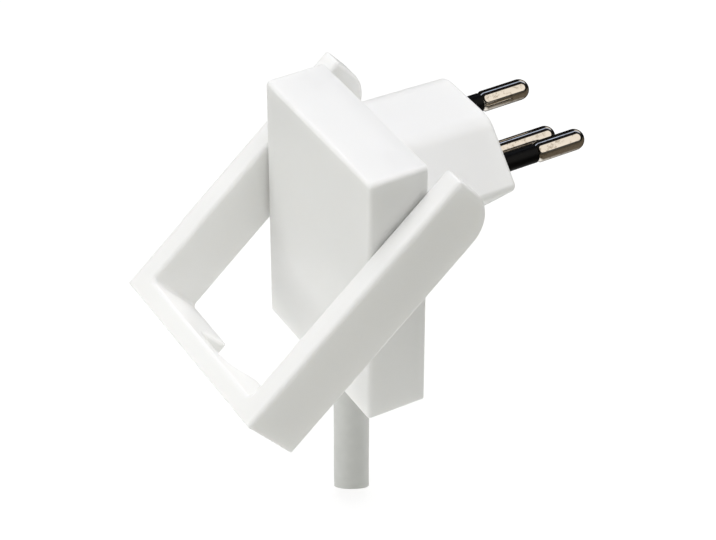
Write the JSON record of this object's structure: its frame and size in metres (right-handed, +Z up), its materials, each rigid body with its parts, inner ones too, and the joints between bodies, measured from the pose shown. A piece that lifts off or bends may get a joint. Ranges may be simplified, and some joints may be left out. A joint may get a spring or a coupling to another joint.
{
  "type": "flat mains plug with swing-out pull handle",
  "caption": "Flat white mains plug with hexagonal neck, round pins, downward cord and a U-shaped pull handle that swings out.",
  "frame": {"origin": "middle of the neck's front face, between the two outer pins", "axes": "+X out along the pins, +Y to the left of a person who pushes the plug into a wall, +Z up; the cord leaves along -Z"},
  "size_m": [0.0776, 0.0484, 0.0874],
  "materials": {
    "white_plastic": "satin white moulded polyamide",
    "nickel_plated_brass": "polished nickel plate on turned brass",
    "black_sleeve_plastic": "smooth black insulating sleeve",
    "carrier_plastic": "plain grey moulded insulator",
    "zinc_plated_steel": "bright zinc plate",
    "live_insulation": "smooth brown PVC",
    "neutral_insulation": "smooth blue PVC",
    "earth_insulation": "smooth green and yellow PVC",
    "bare_copper": "bright drawn copper",
    "cord_sheath": "smooth flexible white PVC",
    "clamp_plastic": "plain white moulding"
  },
  "bodies": {
    "plug_body": {"front_housing": "white_plastic", "rear_cover": "white_plastic", "live_pin": "nickel_plated_brass", "neutral_pin": "nickel_plated_brass", "earth_pin": "nickel_plated_brass", "live_pin_sleeve": "black_sleeve_plastic", "neutral_pin_sleeve": "black_sleeve_plastic", "pin_carrier": "carrier_plastic", "live_terminal_screw": "zinc_plated_steel", "neutral_terminal_screw": "zinc_plated_steel", "earth_terminal_screw": "zinc_plated_steel", "live_core_insulation": "live_insulation", "neutral_core_insulation": "neutral_insulation", "earth_core_insulation": "earth_insulation", "live_conductor": "bare_copper", "neutral_conductor": "bare_copper", "earth_conductor": "bare_copper", "cord_sheath": "cord_sheath", "cord_clamp": "clamp_plastic", "clamp_screw_left": "zinc_plated_steel", "clamp_screw_right": "zinc_plated_steel", "housing_screw_left": "zinc_plated_steel", "housing_screw_right": "zinc_plated_steel"},
    "pull_handle": {"handle": "white_plastic"}
  },
  "joints": [
    {"name": "handle_pivot", "type": "hinge", "parent": "plug_body", "child": "pull_handle", "pos_m": [-0.0258, 0, -0.0051], "axis": [0, 1, 0], "range_deg": [-48.6, 41.4]}
  ]
}
